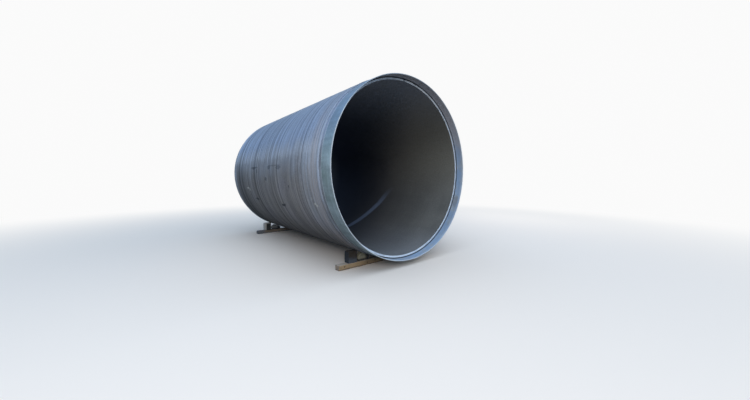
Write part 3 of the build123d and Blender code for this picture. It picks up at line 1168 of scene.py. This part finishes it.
class SocketBandSettings(bpy.types.PropertyGroup):
    paint_green: swatch("Paint, greenish", "Greenish parts of the band's paint", (0.236, 0.305, 0.302))
    paint_grey: swatch("Paint, greyish", "Greyish parts of the band's paint", (0.300, 0.370, 0.400))
    # Painted sky reflection on the band's upper part.
    paint_sky_reflection: swatch("Paint, bluish", "The band's paint towards the top", (0.112, 0.188, 0.305))
    paint_dull: swatch("Paint, dull", "The band's paint towards the ground", (0.340, 0.430, 0.470))
    # Pale worn edges and rims, also painted highlight on them.
    wear_and_edge_highlight: swatch("Worn edge", "Pale worn edges of the band", (0.74, 0.76, 0.78))
    # The rubbed lip's lower part, bluish as painted sky light.
    rubbed_lip_and_sky_light: swatch("Lip", "The pale rubbed strip inside the mouth", (0.50, 0.61, 0.80))
    smear_colour: swatch("Smears", "Dull smears on the socket's wall", (0.25, 0.26, 0.28))
    # Dirt in the gap, darkened also as painted shade.
    gap_dirt_and_shade: swatch("Gap", "Dirt in the gap by the core's end", (0.07, 0.08, 0.10))
    # Painted sky reflection that tints the socket's wall.
    inside_sky_reflection: swatch("Socket, bluish", "Bluish parts of the socket's wall", (0.31, 0.42, 0.58))
    inside_grey: swatch("Socket, greyish", "Greyish parts of the socket's wall", (0.42, 0.46, 0.50))
    inside_brown: swatch("Socket, brownish", "Upper parts of the socket's wall", (0.45, 0.425, 0.445))


class ChockSettings(bpy.types.PropertyGroup):
    plank_early: swatch("Plank, light", "Light wood between the planks' rings", (0.66, 0.46, 0.27))
    plank_late: swatch("Plank, dark", "Dark wood of the planks' rings", (0.44, 0.26, 0.12))
    block_early: swatch("Block, light", "Light wood of the old blocks", (0.062, 0.047, 0.034))
    block_late: swatch("Block, dark", "Dark wood of the old blocks", (0.030, 0.022, 0.018))
    dull_early: swatch("Far plank, light", "Light wood of the weathered plank", (0.30, 0.235, 0.175))
    dull_late: swatch("Far plank, dark", "Dark wood of the weathered plank", (0.17, 0.125, 0.085))
    # The weathered blocks' dark wood is partly painted shade under the pipe.
    grey_early: swatch("Grey block, light", "Light wood of the weathered blocks", (0.060, 0.060, 0.060))
    grey_late: swatch("Grey block, dark", "Dark wood of the weathered blocks", (0.022, 0.022, 0.023))
    wedge_early: swatch("Wedge, light", "Light wood of the wedges", (0.42, 0.38, 0.27))
    wedge_late: swatch("Wedge, dark", "Dark wood of the wedges", (0.20, 0.18, 0.14))
    ashen_early: swatch("Grey wedge, light", "Light wood of the weathered wedges", (0.330, 0.335, 0.345))
    ashen_late: swatch("Grey wedge, dark", "Dark wood of the weathered wedges", (0.150, 0.150, 0.155))
    knot: swatch("Knots", "The dark hearts of the knots", (0.045, 0.026, 0.014))
    dirt: swatch("Dirt", "Dirt on the timber", (0.085, 0.080, 0.075))
    dusty: swatch("Dust", "Grey dust low on the timber", (0.165, 0.195, 0.235))
    # Mostly painted shade: the wedges' undersides and inner ends, and the socket-end blocks' left faces.
    stain_and_shade: swatch("Stain", "Damp dark faces of the timber", (0.028, 0.030, 0.036))
    # Weathered pale tops, and the spigot-end blocks' pale left ends, which are painted sky light.
    silvered_and_sky_lit: swatch("Silvered", "Weathered pale tops and ends", (0.66, 0.62, 0.58))


class PipeStageSettings(bpy.types.PropertyGroup):
    floor_colour: swatch("Floor", "The floor as the camera sees it", (1.0, 0.865, 0.755))
    bounce_colour: swatch("Floor bounce", "The floor as other surfaces see it", (0.24, 0.22, 0.20))
    sky_colour: swatch("Sky light", "Colour of the light from all round", (0.52, 0.73, 1.0))
    sky_strength: FloatProperty(name="Sky light", description="Strength of the light all round", default=0.92)
    low_share: FloatProperty(name="Low light", description="Share of the sky light that comes from low down",
                             default=0.40, min=0, max=1, subtype="FACTOR")
    back_dimming: FloatProperty(name="Back dimming", description="How far low light from behind is held back",
                                default=0.85, min=0, max=1, subtype="FACTOR")
    overhead_colour: swatch("Overhead lamp", "Colour of the overhead lamp", (0.84, 0.92, 1.0))
    overhead_power: FloatProperty(name="Overhead lamp", description="Power of the overhead lamp",
                                  default=360.0)
    front_power: FloatProperty(name="Front lamp", description="Power of the front lamp", default=420.0)
    side_power: FloatProperty(name="Side lamp", description="Power of the lamp at the side", default=190.0)
    front_colour: swatch("Front lamp", "Colour of the front lamp", (1.0, 0.96, 0.90))


class CULVERT_OT_barrel(bpy.types.Operator):
    """Make the concrete barrel"""

    bl_idname = "culvert.barrel"
    bl_label = "Concrete Barrel"

    def execute(self, context):
        make_barrel(context.scene.culvert_pipe)
        return {"FINISHED"}


class CULVERT_OT_socket_band(bpy.types.Operator):
    """Make the painted socket band"""

    bl_idname = "culvert.socket_band"
    bl_label = "Socket Band"

    def execute(self, context):
        make_band(context.scene.culvert_band)
        return {"FINISHED"}


class CULVERT_OT_planks(bpy.types.Operator):
    """Make the planks under the pipe"""

    bl_idname = "culvert.planks"
    bl_label = "Planks"

    def execute(self, context):
        make_planks(context.scene.culvert_chocks)
        return {"FINISHED"}


class CULVERT_OT_blocks(bpy.types.Operator):
    """Make the blocks on the planks"""

    bl_idname = "culvert.blocks"
    bl_label = "Blocks"

    def execute(self, context):
        make_blocks(context.scene.culvert_chocks)
        return {"FINISHED"}


class CULVERT_OT_wedges(bpy.types.Operator):
    """Make the wedges between the blocks and the pipe"""

    bl_idname = "culvert.wedges"
    bl_label = "Wedges"

    def execute(self, context):
        make_wedges(context.scene.culvert_chocks)
        return {"FINISHED"}


class CULVERT_OT_stage(bpy.types.Operator):
    """Make the floor, the light and the camera"""

    bl_idname = "culvert.stage"
    bl_label = "Stage"

    def execute(self, context):
        make_stage(context.scene.culvert_stage)
        return {"FINISHED"}


STEPS = (CULVERT_OT_barrel, CULVERT_OT_socket_band, CULVERT_OT_planks, CULVERT_OT_blocks, CULVERT_OT_wedges,
         CULVERT_OT_stage)
SETTINGS = {
    "culvert_pipe": CulvertPipeSettings,
    "culvert_band": SocketBandSettings,
    "culvert_chocks": ChockSettings,
    "culvert_stage": PipeStageSettings,
}


class CULVERT_PT_panel(bpy.types.Panel):
    """The steps of the finish, and what each takes"""

    bl_idname = "CULVERT_PT_panel"
    bl_label = "Culvert Pipe"
    bl_space_type = "VIEW_3D"
    bl_region_type = "UI"
    bl_category = "Culvert Pipe"

    def draw(self, context):
        for step in STEPS:
            self.layout.operator(step.bl_idname)
        for name, group in SETTINGS.items():
            box = self.layout.box()
            for key in group.__annotations__:
                box.prop(getattr(context.scene, name), key)


def register():
    for made in (*SETTINGS.values(), *STEPS, CULVERT_PT_panel):
        bpy.utils.register_class(made)
    for name, group in SETTINGS.items():
        setattr(bpy.types.Scene, name, PointerProperty(type=group))


def unregister():
    for name in SETTINGS:
        delattr(bpy.types.Scene, name)
    for made in reversed((*SETTINGS.values(), *STEPS, CULVERT_PT_panel)):
        bpy.utils.unregister_class(made)


def main():
    register()
    bpy.ops.culvert.barrel()
    bpy.ops.culvert.socket_band()
    bpy.ops.culvert.planks()
    bpy.ops.culvert.blocks()
    bpy.ops.culvert.wedges()
    bpy.ops.culvert.stage()
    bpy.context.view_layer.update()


if __name__ == "__main__":
    main()
